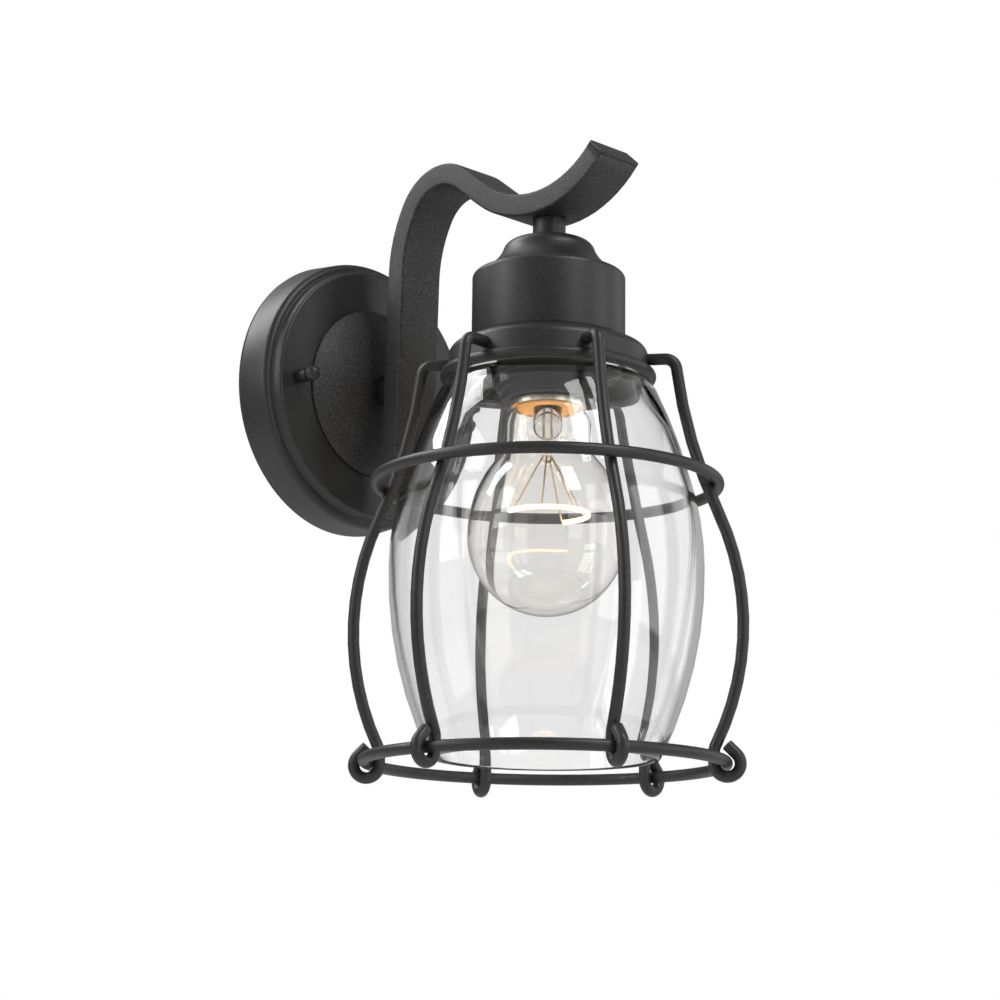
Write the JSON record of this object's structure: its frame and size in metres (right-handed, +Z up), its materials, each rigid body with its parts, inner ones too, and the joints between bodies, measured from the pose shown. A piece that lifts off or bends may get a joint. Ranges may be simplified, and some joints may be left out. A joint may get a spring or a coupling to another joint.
{
  "type": "outdoor wall sconce",
  "caption": "Outdoor wall light: round stepped back plate, bent S-shaped tube arm and a clear glass lantern in a hooked wire cage, open below, with a screw-in bulb.",
  "frame": {"origin": "centre of the mounting strap's wall side, which is the middle of the round back plate on the wall plane", "axes": "+Y into the wall, so the lamp stands out along -Y; +Z up; +X to the right for someone facing the wall"},
  "size_m": [0.15, 0.1843, 0.2474],
  "materials": {
    "black_satin": "satin black powder coat",
    "black_cast": "fine textured black powder coat",
    "zinc_steel": "zinc plated",
    "green_screw": "green",
    "foam": "closed-cell foam",
    "rubber_washer": "matte rubber",
    "black_plastic": "moulded",
    "brass": "bright",
    "clear_glass": "clear",
    "bulb_glass": "clear, thin",
    "bulb_metal": "bright",
    "black_glass": "black glass",
    "amber_cement": "amber",
    "fine_wire": "bright"
  },
  "bodies": {
    "fixture": {"mounting_strap": "zinc_steel", "canopy_studs": "zinc_steel", "ground_screw": "green_screw", "wall_gasket": "foam", "back_plate": "black_satin", "arm_base_dome": "black_cast", "arm_collar": "black_satin", "arm_washer": "zinc_steel", "arm_locknut": "zinc_steel", "arm_nipple": "zinc_steel", "arm": "black_cast", "arm_foot_cap": "black_cast", "arm_tip_cap": "black_cast", "stem_sleeve": "black_satin", "stem_washer": "zinc_steel", "stem_locknut": "zinc_steel", "stem_nipple": "zinc_steel", "socket_cup": "black_satin", "fitter_band": "black_satin", "holder_body": "black_plastic", "holder_hub": "zinc_steel", "holder_screw_shell": "brass", "holder_contact": "brass", "shade_washer": "rubber_washer", "glass_shade": "clear_glass", "cage_wire_1": "black_satin", "cage_wire_2": "black_satin", "cage_wire_3": "black_satin", "cage_wire_4": "black_satin", "cage_wire_5": "black_satin", "cage_wire_6": "black_satin", "cage_middle_ring": "black_satin", "cage_bottom_ring": "black_satin"},
    "cap_nut_left": {"cap_nut_left": "black_satin"},
    "cap_nut_right": {"cap_nut_right": "black_satin"},
    "shade_ring": {"shade_ring": "black_plastic"},
    "bulb": {"bulb_glass": "bulb_glass", "bulb_base": "bulb_metal", "bulb_insulator": "black_glass", "bulb_contact": "bulb_metal", "bulb_mount": "bulb_glass", "bulb_cement": "amber_cement", "filament_supports": "fine_wire", "filament": "fine_wire"}
  },
  "joints": [
    {"name": "cap_nut_left_turn", "type": "hinge", "parent": "fixture", "child": "cap_nut_left", "pos_m": [-0.0406, 0, 0], "axis": [0, 1, 0], "continuous": true},
    {"name": "cap_nut_right_turn", "type": "hinge", "parent": "fixture", "child": "cap_nut_right", "pos_m": [0.0406, 0, 0], "axis": [0, 1, 0], "continuous": true},
    {"name": "shade_ring_turn", "type": "hinge", "parent": "fixture", "child": "shade_ring", "pos_m": [0, -0.1156, 0], "axis": [0, 0, 1], "continuous": true},
    {"name": "bulb_turn", "type": "hinge", "parent": "fixture", "child": "bulb", "pos_m": [0, -0.1156, 0], "axis": [0, 0, 1], "continuous": true}
  ]
}
